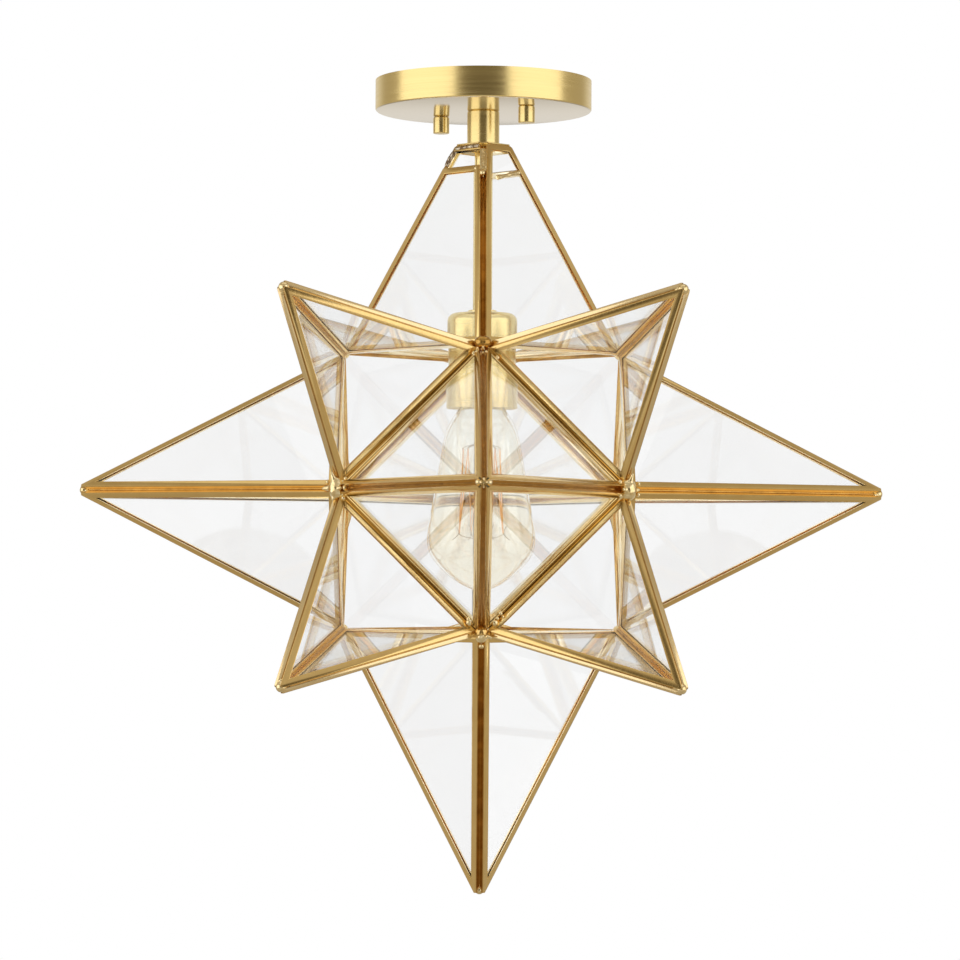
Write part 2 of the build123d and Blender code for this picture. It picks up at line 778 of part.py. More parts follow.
hinge_pane = door[2]
hinge_side = below_base(hinge_pane)
hinge_along = (hinge_pane.right - hinge_pane.left).normalized()
hinge_out = (outward(hinge_pane) + outward(hinge_side)).normalized()
face_distance = hinge_radius + hinge_clear
half_between = radians(outward(hinge_pane).get_angle(outward(hinge_side))) / 2
hinge_centre = base_middle(hinge_pane) + hinge_out * ((channel_depth / 2 + face_distance) / cos(half_between))
tube_pitch = hinge_tube_length + hinge_tube_gap


def hinge_tube(pane, place):
    """One tube on the hinge's axis, with a foot on the face of a pane's channel."""
    start = hinge_centre + hinge_along * (place - hinge_tube_length / 2)
    with BuildSketch(Plane(origin=start, x_dir=-outward(pane), z_dir=hinge_along)) as section:
        Circle(hinge_radius)
        Rectangle(face_distance, hinge_foot_width, align=(Align.MIN, Align.CENTER))
        Circle(hinge_wire_radius + hinge_fit, mode=Mode.SUBTRACT)
    extrude(section.sketch, amount=hinge_tube_length)


with BuildPart() as hinge_shell_tubes:
    for place in (-tube_pitch, tube_pitch):
        hinge_tube(hinge_side, place)
hinge_shell_tubes.part.label = "hinge_shell_tubes"
export_step(hinge_shell_tubes.part, "parts/hinge_shell_tubes.step")

with BuildPart() as hinge_door_tube:
    hinge_tube(hinge_pane, 0)
hinge_door_tube.part.label = "hinge_door_tube"
export_step(hinge_door_tube.part, "parts/hinge_door_tube.step")

wire_length = 2 * tube_pitch + hinge_tube_length + 2 * hinge_wire_end
up_the_side = pane_plane(hinge_side).y_dir
with BuildPart() as hinge_wire:
    wire_start = hinge_centre - hinge_along * (wire_length / 2)
    with BuildLine() as wire_line:
        wire_end = hinge_centre + hinge_along * (wire_length / 2)
        FilletPolyline(
            wire_start, wire_end, wire_end + up_the_side * hinge_wire_hook, radius=hinge_wire_bend
        )
    with BuildSketch(Plane(origin=wire_start, z_dir=hinge_along)):
        Circle(hinge_wire_radius)
    sweep(path=wire_line.line)
hinge_wire.part.label = "hinge_wire"
export_step(hinge_wire.part, "parts/hinge_wire.step")

# Catch: the blade stands on the inside of the opening spike, the clip on the inside of the next one

catch_pane = door[3]
catch_side = below_base(catch_pane)
catch_along = (catch_pane.right - catch_pane.left).normalized()
catch_place = catch_pane.left + catch_along * catch_inset
catch_out = Vector(base_middle(catch_pane).X, base_middle(catch_pane).Y).normalized()


def across(vector):
    """A direction in the catch's section: outwards and up."""
    return Vector(vector.dot(catch_out), vector.Z)


def inner_face(pane, along):
    """Point on the inside face of a pane's channel, this far from the edge that it shares."""
    return across((pane.apex - base_middle(pane)).normalized()) * along - across(outward(pane)) * (
        channel_depth / 2
    )


def catch_section(middle_offset):
    return Plane(
        origin=catch_place + catch_along * middle_offset, x_dir=catch_out, z_dir=catch_along
    )


def meeting(first, second, x):
    """Where the line through two points of the section is this far out."""
    return first + (second - first) * ((x - first.X) / (second.X - first.X))


base_inset = mitre_inset(catch_pane, catch_side)
foot_start = inner_face(catch_pane, base_inset)
foot_end = inner_face(catch_pane, base_inset + flange_width * foot_flange_share)
foot_rise = -across(outward(catch_pane)) * blade_thickness
blade_outer = -blade_inset
blade_inner = blade_outer - blade_thickness
with BuildPart() as catch_blade:
    with BuildSketch(catch_section(-blade_width / 2)):
        with BuildLine():
            Polyline(
                (blade_outer, blade_rise),
                meeting(foot_start, foot_end, blade_outer),
                foot_end,
                foot_end + foot_rise,
                meeting(foot_start + foot_rise, foot_end + foot_rise, blade_inner),
                (blade_inner, blade_rise),
                close=True,
            )
        make_face()
    extrude(amount=blade_width)
catch_blade.part.label = "catch_blade"
export_step(catch_blade.part, "parts/catch_blade.step")

clip_outer = blade_outer + clip_play
clip_inner = blade_inner - clip_play
clip_top = blade_rise + clip_over_blade
side_near = inner_face(catch_side, base_inset)
side_far = inner_face(catch_side, base_inset + flange_width * foot_flange_share)
side_up = -across(outward(catch_side))
with BuildPart() as catch_clip:
    with BuildSketch(catch_section(-clip_width / 2)):
        with BuildLine():
            Polyline(
                (clip_inner - clip_leaf, clip_lift),
                (clip_inner - clip_leaf, clip_top + clip_leaf),
                (clip_outer + clip_leaf, clip_top + clip_leaf),
                (clip_outer + clip_leaf, clip_lift + clip_leaf),
                side_near + side_up * clip_leaf * 2,
                side_far + side_up * clip_leaf,
                side_far,
                side_near,
                (clip_outer, clip_lift),
                (clip_outer, clip_top),
                (clip_inner, clip_top),
                (clip_inner, clip_lift),
                close=True,
            )
        make_face()
    extrude(amount=clip_width)
catch_clip.part.label = "catch_clip"
export_step(catch_clip.part, "parts/catch_clip.step")
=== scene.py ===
# Star lantern ceiling light: how it looks. Metres, in the frame's own axes: +Z up, the front faces -Y.
import json
from math import cos, hypot, pi, radians, sin, sqrt

import bpy
from mathutils import Matrix, Vector


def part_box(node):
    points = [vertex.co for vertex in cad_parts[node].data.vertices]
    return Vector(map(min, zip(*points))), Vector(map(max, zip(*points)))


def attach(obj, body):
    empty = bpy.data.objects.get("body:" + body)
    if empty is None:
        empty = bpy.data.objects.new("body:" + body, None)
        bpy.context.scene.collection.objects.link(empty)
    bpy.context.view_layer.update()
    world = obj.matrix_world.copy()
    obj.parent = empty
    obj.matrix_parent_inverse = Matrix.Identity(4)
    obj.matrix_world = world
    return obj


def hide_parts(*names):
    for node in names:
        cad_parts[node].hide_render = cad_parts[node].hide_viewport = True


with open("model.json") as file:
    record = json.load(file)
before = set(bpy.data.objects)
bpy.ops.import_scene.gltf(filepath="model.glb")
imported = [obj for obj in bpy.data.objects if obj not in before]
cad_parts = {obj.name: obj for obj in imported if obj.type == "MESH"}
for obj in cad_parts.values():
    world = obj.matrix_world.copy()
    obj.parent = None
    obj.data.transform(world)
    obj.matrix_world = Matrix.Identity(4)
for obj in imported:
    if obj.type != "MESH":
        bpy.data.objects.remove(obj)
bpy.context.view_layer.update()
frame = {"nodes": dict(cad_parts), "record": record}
bpy.ops.object.select_all(action="DESELECT")

MM = 0.001
UP = Vector((0, 0, 1))


def low(node):
    return Vector(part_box(node)[0])


def high(node):
    return Vector(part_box(node)[1])


# Star, as the frame has it
core_half = 87.6 * MM                    # star's centre to the faces of the cube that its corners lie on
side_spike = "left_spike_channels"
centre = Vector((0, 0, (low(side_spike).z + high(side_spike).z) / 2))
long_height = 171.7 * MM                 # base square to the sharp point, before it was cut blunt
top_height = 164.7 * MM                  # the same for the spike that the stem comes through
short_height = 114.0 * MM
tip_cut = 6.4 * MM                       # sharp point to where it is cut blunt
short_axis = (core_half * 2 / sqrt(3) + short_height) / sqrt(3)
edge_reach = core_half * 1.5             # a little more than an edge of the core
door_top = centre.z - core_half / 2      # core corners below this are the ones round the opening spike

core_corners = [
    centre + Vector(place) * core_half
    for place in (
        (1, 1, 0), (1, -1, 0), (-1, 1, 0), (-1, -1, 0),
        (1, 0, 1), (1, 0, -1), (-1, 0, 1), (-1, 0, -1),
        (0, 1, 1), (0, 1, -1), (0, -1, 1), (0, -1, -1),
    )
]
door_points = [centre + Vector((0, 0, -core_half - long_height))]
top_points = [centre + Vector((0, 0, core_half + top_height))]
long_points = [
    centre + Vector(axis) * (core_half + long_height)
    for axis in ((1, 0, 0), (-1, 0, 0), (0, 1, 0), (0, -1, 0))
]
short_points = [
    centre + Vector((x, y, z)) * short_axis for x in (1, -1) for y in (1, -1) for z in (1, -1)
]


# Modelling

def only(piece):
    """Selects this piece alone and makes it the active one."""
    bpy.ops.object.select_all(action="DESELECT")
    piece.select_set(True)
    bpy.context.view_layer.objects.active = piece
    return piece


def named(name):
    piece = bpy.context.object
    piece.name = piece.data.name = name
    return piece


def settle(piece):
    """Puts the piece's place into its mesh."""
    only(piece)
    bpy.ops.object.transform_apply(location=True, rotation=True, scale=True)
    return piece


def modify(piece, kind, **settings):
    """Adds a modifier with these settings and applies it."""
    only(piece)
    bpy.ops.object.modifier_add(type=kind)
    modifier = piece.modifiers[-1]
    for key, value in settings.items():
        setattr(modifier, key, value)
    bpy.ops.object.modifier_apply(modifier=modifier.name)
    return piece


def soften(piece, width, segments=2, angle=30):
    """Rounds every edge sharper than the angle, and shades smooth between what stays sharp."""
    modify(
        piece, "BEVEL", width=width, segments=segments, limit_method="ANGLE", angle_limit=radians(angle),
        use_clamp_overlap=True,
    )
    only(piece)
    bpy.ops.object.shade_smooth_by_angle(angle=radians(40))
    return piece


def joined(name, pieces):
    bpy.ops.object.select_all(action="DESELECT")
    for piece in pieces:
        piece.select_set(True)
    bpy.context.view_layer.objects.active = pieces[0]
    if len(pieces) > 1:
        bpy.ops.object.join()
    named(name)
    return settle(bpy.context.object)


def merged_copy(node, name):
    """A copy of a node's mesh, its loose triangles merged back into flat faces."""
    mesh = frame["nodes"][node].data.copy()
    mesh.materials.clear()
    piece = bpy.data.objects.new(name, mesh)
    bpy.context.collection.objects.link(piece)
    only(piece)
    bpy.ops.object.mode_set(mode="EDIT")
    bpy.ops.mesh.select_all(action="SELECT")
    bpy.ops.mesh.remove_doubles(threshold=0.002 * MM)
    bpy.ops.mesh.dissolve_limited(angle_limit=radians(0.5))
    bpy.ops.object.mode_set(mode="OBJECT")
    named(name)
    return piece


def turned(name, profile, steps=96, closed=False):
    """A piece turned on the lathe: its profile of (radius, height) points, spun about Z."""
    points = [Vector((radius, 0, height)) for radius, height in profile]
    bpy.ops.mesh.primitive_plane_add(size=1 * MM, location=points[0])
    piece = named(name)
    bpy.ops.object.mode_set(mode="EDIT")
    bpy.ops.mesh.select_all(action="SELECT")
    bpy.ops.mesh.merge(type="CENTER")
    for here, after in zip(points, points[1:] + (points[:1] if closed else [])):
        bpy.ops.mesh.extrude_region_move(TRANSFORM_OT_translate={"value": after - here})
    bpy.ops.mesh.select_all(action="SELECT")
    bpy.ops.mesh.spin(steps=steps, angle=2 * pi, center=(0, 0, 0), axis=(0, 0, 1))
    bpy.ops.mesh.select_all(action="SELECT")
    bpy.ops.mesh.remove_doubles(threshold=0.002 * MM)
    bpy.ops.mesh.normals_make_consistent(inside=False)
    bpy.ops.object.mode_set(mode="OBJECT")
    return settle(piece)


def arc(middle, radius, start, end, steps):
    """Points of (radius, height) along an arc about a middle, angles in degrees from outwards."""
    return [
        (
            middle[0] + radius * cos(radians(start + (end - start) * step / steps)),
            middle[1] + radius * sin(radians(start + (end - start) * step / steps)),
        )
        for step in range(steps + 1)
    ]


def wire(name, path, radius, smooth=False):
    """A round wire along a path, as a mesh."""
    curve = bpy.data.curves.new(name, "CURVE")
    curve.dimensions = "3D"
    curve.bevel_depth = radius
    curve.bevel_resolution = 1
    curve.use_fill_caps = True
    spline = curve.splines.new("NURBS" if smooth else "POLY")
    spline.points.add(len(path) - 1)
    for point, place in zip(spline.points, path):
        point.co = (*place, 1)
    if smooth:
        spline.order_u = 3
        spline.use_endpoint_u = True
        spline.resolution_u = 6
    piece = bpy.data.objects.new(name, curve)
    bpy.context.collection.objects.link(piece)
    only(piece)
    bpy.ops.object.convert(target="MESH")
    bpy.ops.object.shade_smooth()
    return named(name)


# Materials

def finish(name):
    material = bpy.data.materials.new(name)
    material.use_nodes = True
    tree = material.node_tree
    return material, tree, tree.nodes["Principled BSDF"]


def put(tree, kind, values=(), **settings):
    made = tree.nodes.new("ShaderNode" + kind)
    for key, value in settings.items():
        setattr(made, key, value)
    for socket, value in dict(values).items():
        made.inputs[socket].default_value = value
    return made


def noise(tree, scale, stretch=(1, 1, 1), detail=3.0, vector=None):
    """A noise that is this fine, in lumps to a metre, and drawn out along an axis where stretch is small."""
    if vector is None:
        vector = put(tree, "TexCoord").outputs["Object"]
    mapping = put(tree, "Mapping", {"Scale": [scale * part for part in stretch]})
    tree.links.new(vector, mapping.inputs["Vector"])
    texture = put(tree, "TexNoise", {"Scale": 1.0, "Detail": detail, "Roughness": 0.6})
    tree.links.new(mapping.outputs["Vector"], texture.inputs["Vector"])
    return texture.outputs["Fac"]


def between(tree, fac, lowest, highest, start=0.3, end=0.7):
    """A number that runs from lowest to highest as the noise runs from start to end."""
    span = put(
        tree, "MapRange", {"From Min": start, "From Max": end, "To Min": lowest, "To Max": highest}
    )
    tree.links.new(fac, span.inputs["Value"])
    return span.outputs["Result"]


def blend_colours(tree, fac, first, second):
    mix = put(tree, "Mix", data_type="RGBA")
    tree.links.new(fac, mix.inputs["Factor"])
    for socket, colour in (("A", first), ("B", second)):
        target = [s for s in mix.inputs if s.name == socket and s.type == "RGBA"][0]
        if isinstance(colour, tuple):
            target.default_value = (*colour, 1)
        else:
            tree.links.new(colour, target)
    return [s for s in mix.outputs if s.type == "RGBA"][0]


def relief(tree, shader, fac, depth, strength=1.0):
    """Bump of this depth on the shader, on top of any it has."""
    bump = put(tree, "Bump", {"Distance": depth, "Strength": strength})
    tree.links.new(fac, bump.inputs["Height"])
    old = shader.inputs["Normal"].links
    if old:
        tree.links.new(old[0].from_socket, bump.inputs["Normal"])
    tree.links.new(bump.outputs["Normal"], shader.inputs["Normal"])


def round_the_stem(tree):
    """Coordinates that follow a turned piece: once round, out from the axis, and up."""
    place = put(tree, "SeparateXYZ")
    tree.links.new(put(tree, "TexCoord").outputs["Object"], place.inputs["Vector"])
    angle = put(tree, "Math", operation="ARCTAN2")
    tree.links.new(place.outputs["Y"], angle.inputs[0])
    tree.links.new(place.outputs["X"], angle.inputs[1])
    flat = put(tree, "CombineXYZ")
    tree.links.new(place.outputs["X"], flat.inputs["X"])
    tree.links.new(place.outputs["Y"], flat.inputs["Y"])
    out = put(tree, "VectorMath", operation="LENGTH")
    tree.links.new(flat.outputs["Vector"], out.inputs[0])
    joined_up = put(tree, "CombineXYZ")
    for source, target in (
        (angle.outputs["Value"], "X"), (out.outputs["Value"], "Y"), (place.outputs["Z"], "Z"),
    ):
        tree.links.new(source, joined_up.inputs[target])
    return joined_up.outputs["Vector"]


def polished_brass():
    """Folded channel: bright on its flanges, with painted shade in brown down in the groove between two, and
    a painted pale highlight on the faces that look into the spike.
    """
    material, tree, shader = finish("polished_brass")
    shader.inputs["Metallic"].default_value = 1.0
    patches = noise(tree, 60)
    bright = blend_colours(tree, between(tree, patches, 0, 1), (0.86, 0.635, 0.28), (0.80, 0.565, 0.23))
    streaks = noise(tree, 140)
    # Painted shade: a brown for the walls down in the groove between two channels, where shade falls.
    painted_shade_brown = blend_colours(tree, between(tree, streaks, 0, 1), (0.62, 0.37, 0.105), (0.44, 0.24, 0.06))
    # Painted highlight: the faces marked inside take a pale brass, fully or by half.
    inside = put(tree, "Attribute", attribute_name="inside").outputs["Fac"]
    painted_highlight = blend_colours(tree, inside, bright, (0.94, 0.82, 0.56))
    painted_groove_shade = put(tree, "Attribute", attribute_name="painted_groove_shade").outputs["Fac"]
    tree.links.new(blend_colours(tree, painted_groove_shade, painted_highlight, painted_shade_brown), shader.inputs["Base Color"])
    marks = noise(tree, 900, stretch=(1, 1, 0.3))
    tree.links.new(between(tree, marks, 0.10, 0.20), shader.inputs["Roughness"])
    relief(tree, shader, marks, 0.02 * MM, 0.2)
    return material


def satin_brass(name, underside=None, painted_shade_tone=1.0):
    """Collar, stem, cup and canopy, brushed round and round. The canopy's underside is smoother and has a
    painted pale reflection. A shade tone below 1 makes a darker copy: painted shade.
    """
    material, tree, shader = finish(name)
    shader.inputs["Metallic"].default_value = 1.0
    brushing = noise(tree, 1, stretch=(1.2, 5200, 5200), detail=4.0, vector=round_the_stem(tree))
    broad = noise(tree, 1, stretch=(0.8, 500, 500), detail=2.0, vector=round_the_stem(tree))
    # A shade tone below 1 darkens both colours: painted shade.
    ridge, furrow = (tuple(part * painted_shade_tone for part in tint) for tint in ((0.87, 0.71, 0.34), (0.82, 0.64, 0.28)))
    colour = blend_colours(tree, between(tree, brushing, 0, 1), ridge, furrow)
    dullness = between(tree, broad, 0.20, 0.28)
    if underside is not None:
        place = put(tree, "SeparateXYZ")
        tree.links.new(put(tree, "TexCoord").outputs["Object"], place.inputs["Vector"])
        below = between(tree, place.outputs["Z"], 0, 1, underside + 0.5 * MM, underside + 0.2 * MM)
        # Painted reflection: a pale grey brass on the canopy's underside.
        colour = blend_colours(tree, below, colour, (0.80, 0.74, 0.63))
        smoother = put(tree, "Mix", {"B": 0.12})
        tree.links.new(below, smoother.inputs["Factor"])
        tree.links.new(dullness, smoother.inputs["A"])
        dullness = smoother.outputs["Result"]
    tree.links.new(colour, shader.inputs["Base Color"])
    tree.links.new(dullness, shader.inputs["Roughness"])
    relief(tree, shader, brushing, 0.006 * MM, 0.25)
    return material


def plain_brass():
    """Hinge, catch and the brass inside the holder."""
    material, tree, shader = finish("plain_brass")
    shader.inputs["Metallic"].default_value = 1.0
    stains = noise(tree, 220)
    colour = blend_colours(tree, between(tree, stains, 0, 1), (0.80, 0.55, 0.24), (0.62, 0.40, 0.16))
    tree.links.new(colour, shader.inputs["Base Color"])
    tree.links.new(between(tree, stains, 0.22, 0.42), shader.inputs["Roughness"])
    relief(tree, shader, noise(tree, 2500), 0.015 * MM, 0.4)
    return material


def plated_solder():
    """Solder run by hand and plated over: bright, wavy, darker in its creases."""
    material, tree, shader = finish("plated_solder")
    shader.inputs["Metallic"].default_value = 1.0
    runs = noise(tree, 320)
    colour = blend_colours(tree, between(tree, runs, 0, 1), (0.97, 0.84, 0.55), (0.80, 0.60, 0.28))
    tree.links.new(colour, shader.inputs["Base Color"])
    tree.links.new(between(tree, runs, 0.08, 0.2), shader.inputs["Roughness"])
    relief(tree, shader, noise(tree, 900), 0.12 * MM, 0.8)
    return material


def tarnished_solder():
    """Solder that the plating has missed: grey and brown streaks, half dull."""
    material, tree, shader = finish("tarnished_solder")
    shader.inputs["Metallic"].default_value = 1.0
    streaks = noise(tree, 420, stretch=(1, 1, 0.5))
    share = between(tree, streaks, 0, 1, 0.4, 0.6)
    colour = blend_colours(tree, share, (0.70, 0.64, 0.52), (0.22, 0.14, 0.08))
    tree.links.new(colour, shader.inputs["Base Color"])
    tree.links.new(between(tree, streaks, 0.18, 0.42), shader.inputs["Roughness"])
    relief(tree, shader, noise(tree, 1100), 0.12 * MM, 0.8)
    return material


def zinc_plate():
    material, tree, shader = finish("zinc_plate")
    shader.inputs["Metallic"].default_value = 1.0
    spangle = put(tree, "TexVoronoi", {"Scale": 260.0})
    tree.links.new(put(tree, "TexCoord").outputs["Object"], spangle.inputs["Vector"])
    colour = blend_colours(tree, spangle.outputs["Distance"], (0.72, 0.73, 0.75), (0.60, 0.61, 0.64))
    tree.links.new(colour, shader.inputs["Base Color"])
    tree.links.new(between(tree, noise(tree, 700), 0.28, 0.42), shader.inputs["Roughness"])
    return material


def glazed_porcelain():
    material, tree, shader = finish("glazed_porcelain")
    speckle = noise(tree, 1500)
    colour = blend_colours(tree, between(tree, speckle, 0, 1), (0.86, 0.85, 0.81), (0.80, 0.78, 0.73))
    tree.links.new(colour, shader.inputs["Base Color"])
    tree.links.new(between(tree, noise(tree, 300), 0.12, 0.25), shader.inputs["Roughness"])
    return material


def black_glass():
    material, tree, shader = finish("black_glass")
    streaks = noise(tree, 400)
    colour = blend_colours(tree, between(tree, streaks, 0, 1), (0.03, 0.03, 0.035), (0.06, 0.055, 0.06))
    tree.links.new(colour, shader.inputs["Base Color"])
    tree.links.new(between(tree, streaks, 0.08, 0.2), shader.inputs["Roughness"])
    return material


def tinned_contact():
    material, tree, shader = finish("tinned_contact")
    shader.inputs["Metallic"].default_value = 1.0
    ripples = noise(tree, 900)
    colour = blend_colours(tree, between(tree, ripples, 0, 1), (0.80, 0.80, 0.80), (0.64, 0.64, 0.66))
    tree.links.new(colour, shader.inputs["Base Color"])
    tree.links.new(between(tree, ripples, 0.2, 0.4), shader.inputs["Roughness"])
    relief(tree, shader, ripples, 0.05 * MM, 0.5)
    return material


def filament_wire(name, metallic, light, dark, painted_glow=0.0):
    """The supports are plain wire. The strand has a painted glow: a pale amber colour and a faint orange
    emission, though the bulb is unlit.
    """
    material, tree, shader = finish(name)
    shader.inputs["Metallic"].default_value = metallic
    shader.inputs["Emission Color"].default_value = (1.0, 0.50, 0.20, 1)
    shader.inputs["Emission Strength"].default_value = painted_glow
    tint = noise(tree, 500)
    colour = blend_colours(tree, between(tree, tint, 0, 1), light, dark)
    tree.links.new(colour, shader.inputs["Base Color"])
    tree.links.new(between(tree, tint, 0.4, 0.6), shader.inputs["Roughness"])
    return material


def glass(name, colour, deeper, waves, wave_scale, ior=1.5, tinted=None):
    """Clear glass with a faint drift of colour and a gentle wave, which lets the lamps through to what is
    behind. Where it is tinted, the colour deepens from the one height down to the other."""
    material, tree, shader = finish(name)
    shader.inputs["Transmission Weight"].default_value = 1.0
    shader.inputs["Roughness"].default_value = 0.0
    shader.inputs["IOR"].default_value = ior
    drift = noise(tree, wave_scale, detail=1.0)
    share = between(tree, drift, 0, 1)
    if tinted:
        place = put(tree, "SeparateXYZ")
        tree.links.new(put(tree, "TexCoord").outputs["Object"], place.inputs["Vector"])
        share = between(tree, place.outputs["Z"], 0, 1, *tinted)
    tree.links.new(blend_colours(tree, share, colour, deeper), shader.inputs["Base Color"])
    relief(tree, shader, drift, waves, 1.0)
    clear = put(tree, "BsdfTransparent", {"Color": (*colour, 1)})
    choose = put(tree, "MixShader")
    tree.links.new(put(tree, "LightPath").outputs["Is Shadow Ray"], choose.inputs["Fac"])
    tree.links.new(shader.outputs["BSDF"], choose.inputs[1])
    tree.links.new(clear.outputs["BSDF"], choose.inputs[2])
    tree.links.new(choose.outputs["Shader"], tree.nodes["Material Output"].inputs["Surface"])
    return material


finishes = {
    "channel_brass": polished_brass(),
    "satin_brass": satin_brass("satin_brass"),
    "canopy": satin_brass("canopy_brass_painted_pale_underside", low("canopy").z),
    # The cup is a darker copy of the satin brass: painted shade, as it sits inside the glass star.
    "cup": satin_brass("cup_brass_painted_shade", painted_shade_tone=0.88),
    "plain_brass": plain_brass(),
    "solder": plated_solder(),
    "tarnished": tarnished_solder(),
    "zinc_steel": zinc_plate(),
    "white_holder": glazed_porcelain(),
    "black_insulator": black_glass(),
    "contact_metal": tinned_contact(),
    "filament_wire": filament_wire("filament_wire", 1.0, (0.78, 0.64, 0.42), (0.56, 0.42, 0.26)),
    # The strand's pale amber and its emission of 0.5 are a painted glow.
    "strand": filament_wire("painted_glow_strand", 0.4, (0.98, 0.66, 0.36), (0.90, 0.48, 0.20), 0.5),
    "clear_glass": glass("pane_glass", (0.962, 0.963, 0.964), (0.952, 0.955, 0.957), 0.003 * MM, 14, 1.4),
    "amber_glass": glass(
        "bulb_glass_tint", (0.98, 0.975, 0.915), (0.988, 0.96, 0.86), 0.004 * MM, 24,
        tinted=(centre.z + 30 * MM, centre.z - 30 * MM),
    ),
    "stem_glass": glass("stem_glass_clear", (0.98, 0.97, 0.93), (0.95, 0.93, 0.88), 0.02 * MM, 60),
}
slot_of = {row["node"]: row["material_slot"] for row in frame["record"]["subparts"]}


def hand_over(piece, slot, body, *nodes, look=None):
    """Gives a piece its finish and its body, and lets it stand for these nodes."""
    piece.data.materials.clear()
    piece.data.materials.append(finishes[look or slot])
    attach(piece, body)
    if nodes:
        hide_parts(*nodes)
    return piece


# Folded channels

spikes = [node[: -len("_channels")] for node in frame["nodes"] if node.endswith("_channels")]


def next_corners(corner):
    """The four corners of the core that a corner shares an edge with."""
    return [other for other in core_corners if 0 < (other - corner).length < edge_reach]


def points_over(corner):
    """The points of the four spikes that a corner of the core is part of."""
    long_reach, short_reach = hypot(core_half, long_height) * 1.01, core_half * 1.65
    return [
        point for point in long_points + door_points + top_points if (point - corner).length < long_reach
    ] + [point for point in short_points if (point - corner).length < short_reach]


core_edges = [
    (one, other) for index, one in enumerate(core_corners) for other in next_corners(one)
    if other in core_corners[index:]
]
ridges = [(corner, point) for corner in core_corners for point in points_over(corner)]


def towards_edge(place, lines):
    """From a place to the nearest point of the star's sharp edges."""
    best = None
    for start, end in lines:
        along = (end - start).normalized()
        reach = min(max((place - start).dot(along), 0), (end - start).length)
        gap = start + along * reach - place
        if best is None or gap.length < best.length:
            best = gap
    return best


groove_reach = 5.5 * MM                  # sharp edge of the star to the middle of a wall beside it


def mark_painted_groove_shade(piece):
    """Marks painted shade on the narrow outer walls of the channels, which face the next channel across a
    groove, and gives back the walls that face up, down or straight to the front, which take little of it."""
    box = [Vector(corner) for corner in piece.bound_box]
    lowest = Vector(min(corner[axis] for corner in box) for axis in range(3))
    highest = Vector(max(corner[axis] for corner in box) for axis in range(3))
    margin = 6 * MM
    lines = [
        line for line in core_edges + ridges
        if all(
            lowest[axis] - margin < max(line[0][axis], line[1][axis])
            and min(line[0][axis], line[1][axis]) < highest[axis] + margin
            for axis in range(3)
        )
    ]
    shade = piece.data.attributes.new("painted_groove_shade", "FLOAT", "FACE")
    values, less_shaded_walls = [], set()
    for face in piece.data.polygons:
        gap = towards_edge(face.center, lines)
        facing = min(max((face.normal.dot(gap.normalized()) - 0.25) / 0.4, 0), 1)
        # Walls that look up or down or straight to the front take less painted shade, as if more light fell
        # on them
        facing_light = min(max((abs(face.normal.z) - 0.35) / 0.55, (-face.normal.y - 0.8) / 0.1, 0), 1)
        near = gap.length < groove_reach
        values.append(facing * (1 - 0.85 * facing_light) if near else 0)
        if near and facing * facing_light > 0.9:
            less_shaded_walls.add(face.index)
    shade.data.foreach_set("value", values)
    return less_shaded_walls


def mark_painted_highlight(piece, less_shaded_walls):
    """Marks a painted pale highlight on the faces that look into the spike, and half of one on the walls that
    take little painted shade. Down the ridges of a short spike they get none and are as dark as the rest."""
    middle = sum((vertex.co for vertex in piece.data.vertices), Vector()) / len(piece.data.vertices) - centre
    axis = middle.normalized()
    short_one = min(abs(part) for part in axis) > 0.3
    shade = piece.data.attributes.new("inside", "FLOAT", "FACE")
    values = []
    for face in piece.data.polygons:
        out = face.center - centre
        on_base = not short_one or out.length < edge_reach
        out -= axis * out.dot(axis)
        inwards = face.normal.dot(out.normalized()) < -0.4
        half_highlight = 0.55 if face.index in less_shaded_walls else 0.0
        values.append(1.0 if inwards and on_base else half_highlight)
    shade.data.foreach_set("value", values)


channels = []


def folded_channels():
    fold_radius = 0.32 * MM
    for spike in spikes:
        node = f"{spike}_channels"
        piece = soften(merged_copy(node, f"{spike}_folded_channels"), fold_radius)
        mark_painted_highlight(piece, mark_painted_groove_shade(piece))
        channels.append(piece)
        hand_over(piece, "channel_brass", "opening_spike" if spike == "bottom_spike" else "fixture", node)


# Solder

def blob(place, radius, stretch=(1, 1, 1)):
    bpy.ops.mesh.primitive_ico_sphere_add(subdivisions=3, radius=radius, location=place)
    made = bpy.context.object
    made.scale = stretch
    return made


def run_of_solder(start, direction, length, thick, thin):
    """A tapering run from a knot along one of its channels."""
    bpy.ops.mesh.primitive_cone_add(
        vertices=12, radius1=thick, radius2=thin, depth=length,
        location=start + direction * (length / 2), rotation=direction.to_track_quat("Z", "Y").to_euler(),
    )
    return bpy.context.object


def melted(name, lumps, voxel, waves, wave_size):
    """Lumps run together into one skin, smoothed and slightly uneven."""
    piece = joined(name, lumps)
    modify(piece, "REMESH", mode="VOXEL", voxel_size=voxel)
    modify(piece, "SMOOTH", factor=0.6, iterations=5)
    texture = bpy.data.textures.new(f"{name}_waves", "CLOUDS")
    texture.noise_scale = wave_size
    modify(piece, "DISPLACE", texture=texture, strength=waves, mid_level=0.5, texture_coords="LOCAL")
    only(piece)
    bpy.ops.object.shade_smooth()
    return piece


def dab(across, up, radius, stretch=(1, 1, 1)):
    """A bead on the front of the channels, this far across and up from the star's centre, in millimetres."""
    start, ahead = Vector((across * MM, -1, centre.z + up * MM)), Vector((0, 1, 0))
    found = []
    for piece in channels:
        met, place, normal, _ = piece.ray_cast(start, ahead)
        if met:
            found.append((place.y, place, normal))
    _, place, normal = min(found, key=lambda one: one[0])
    return blob(place + normal * (0.3 * radius * MM), radius * MM, stretch)


